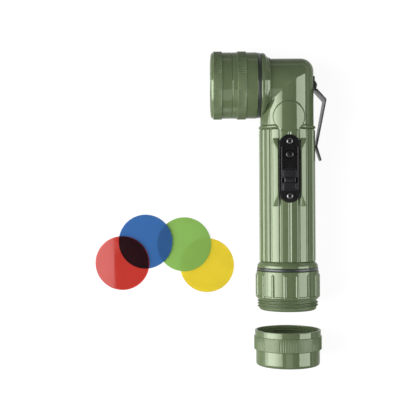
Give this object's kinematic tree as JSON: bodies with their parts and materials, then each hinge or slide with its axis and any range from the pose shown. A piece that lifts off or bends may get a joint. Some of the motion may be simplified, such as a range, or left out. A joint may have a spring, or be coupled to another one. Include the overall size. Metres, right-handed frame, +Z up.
{
  "type": "angle-head flashlight",
  "caption": "Right-angle flashlight with a ribbed barrel, screw head, sliding switch, belt clip and screw-off storage cap, laid out with loose colour filters.",
  "frame": {"origin": "on the table, under the middle of the whole layout's box", "axes": "+Z up from the table, towards the switch side; +Y along the barrel, from its base to its head; +X from the head's window to the belt clip"},
  "size_m": [0.1752, 0.2344, 0.0507],
  "materials": {
    "green_plastic": "glossy moulded",
    "black_plastic": "satin moulded",
    "black_rubber": "dull",
    "grey_steel": "dull plated",
    "black_steel": "blackened",
    "brass": "bright strip",
    "clear": "clear",
    "bright": "mirror bright",
    "cell_can": "plain sleeve",
    "red_clear": "clear coloured",
    "blue_clear": "clear coloured",
    "green_clear": "clear coloured",
    "yellow_clear": "clear coloured"
  },
  "bodies": {
    "casing": {"body_shell": "green_plastic", "head_gasket": "black_rubber", "contact_disc": "black_plastic", "bulb_contact": "brass", "upper_cell": "cell_can", "lower_cell": "cell_can", "ground_strip": "brass", "switch_gasket": "black_rubber", "switch_plate": "black_plastic", "switch_screws": "black_steel", "button_spring": "grey_steel", "clip_plate": "black_steel", "clip_tab": "grey_steel", "clip_rivet": "black_steel", "base_gasket": "black_rubber"},
    "clip": {"clip_arm": "grey_steel"},
    "slide": {"switch_slide": "black_plastic", "slide_contact": "brass"},
    "button": {"signal_button": "black_plastic"},
    "optics": {"lens": "clear", "lens_gasket": "black_rubber", "reflector": "bright", "bulb_holder": "brass", "bulb_base": "brass", "bulb_glass": "clear"},
    "lens_ring": {"lens_ring": "green_plastic"},
    "filter_seat": {"filter_gasket": "black_rubber"},
    "filter_ring": {"filter_ring": "green_plastic"},
    "spring_seat": {"battery_spring": "grey_steel", "spring_plate": "brass"},
    "battery_cap": {"battery_cap": "green_plastic"},
    "cap_seal": {"cap_gasket": "black_rubber"},
    "storage_cap": {"storage_cap": "green_plastic"},
    "yellow": {"yellow_filter": "yellow_clear"},
    "green": {"green_filter": "green_clear"},
    "blue": {"blue_filter": "blue_clear"},
    "red": {"red_filter": "red_clear"}
  },
  "joints": [
    {"name": "clip_flex", "type": "hinge", "parent": "casing", "child": "clip", "pos_m": [0.08016, 0.08812, 0.02535], "axis": [0, 0, 1], "range_deg": [0, 10], "stiffness_Nm_per_rad": 0.3, "springref_deg": -5.73},
    {"name": "switch_travel", "type": "slide", "parent": "casing", "child": "slide", "axis": [0, 1, 0], "range_m": [0, 0.007]},
    {"name": "button_press", "type": "slide", "parent": "casing", "child": "button", "axis": [0, 0, -1], "range_m": [0, 0.0009], "stiffness_N_per_m": 60, "springref_m": -0.004, "deforming": ["button_spring"]},
    {"name": "lens_ring_draw", "type": "slide", "parent": "casing", "child": "optics", "axis": [-1, 0, 0], "range_m": [0, 0.00965]},
    {"name": "lens_ring_turn", "type": "hinge", "parent": "optics", "child": "lens_ring", "pos_m": [0.02911, 0.09187, 0.02535], "axis": [-1, 0, 0], "range_deg": [0, 1440]},
    {"name": "filter_ring_draw", "type": "slide", "parent": "lens_ring", "child": "filter_seat", "axis": [-1, 0, 0], "range_m": [0, 0.01005]},
    {"name": "filter_ring_turn", "type": "hinge", "parent": "filter_seat", "child": "filter_ring", "pos_m": [0.00911, 0.09187, 0.02535], "axis": [-1, 0, 0], "range_deg": [0, 1800]},
    {"name": "battery_cap_draw", "type": "slide", "parent": "casing", "child": "spring_seat", "axis": [0, -1, 0], "range_m": [0, 0.00965]},
    {"name": "battery_cap_turn", "type": "hinge", "parent": "spring_seat", "child": "battery_cap", "pos_m": [0.05911, -0.05813, 0.02535], "axis": [0, -1, 0], "range_deg": [0, 1440]},
    {"name": "storage_cap_draw", "type": "slide", "parent": "battery_cap", "child": "cap_seal", "axis": [0, 1, 0], "range_m": [0, 0.02325]},
    {"name": "storage_cap_turn", "type": "hinge", "parent": "cap_seal", "child": "storage_cap", "pos_m": [0.05911, -0.09813, 0.02535], "axis": [0, 1, 0], "range_deg": [0, 4176]},
    {"name": "yellow_lift", "type": "slide", "parent": "casing", "child": "yellow", "axis": [0, 0, 1], "range_m": [0, 0.03]},
    {"name": "green_lift", "type": "slide", "parent": "yellow", "child": "green", "axis": [0, 0, 1], "range_m": [0, 0.03]},
    {"name": "blue_lift", "type": "slide", "parent": "green", "child": "blue", "axis": [0, 0, 1], "range_m": [0, 0.03]},
    {"name": "red_lift", "type": "slide", "parent": "blue", "child": "red", "axis": [0, 0, 1], "range_m": [0, 0.03]}
  ],
  "couplings": [
    {"joint": "lens_ring_draw", "follows": "lens_ring_turn", "m_per_rad": 0.00038197},
    {"joint": "filter_ring_draw", "follows": "filter_ring_turn", "m_per_rad": 0.00031831},
    {"joint": "battery_cap_draw", "follows": "battery_cap_turn", "m_per_rad": 0.00038197},
    {"joint": "storage_cap_draw", "follows": "storage_cap_turn", "m_per_rad": 0.00031831}
  ]
}
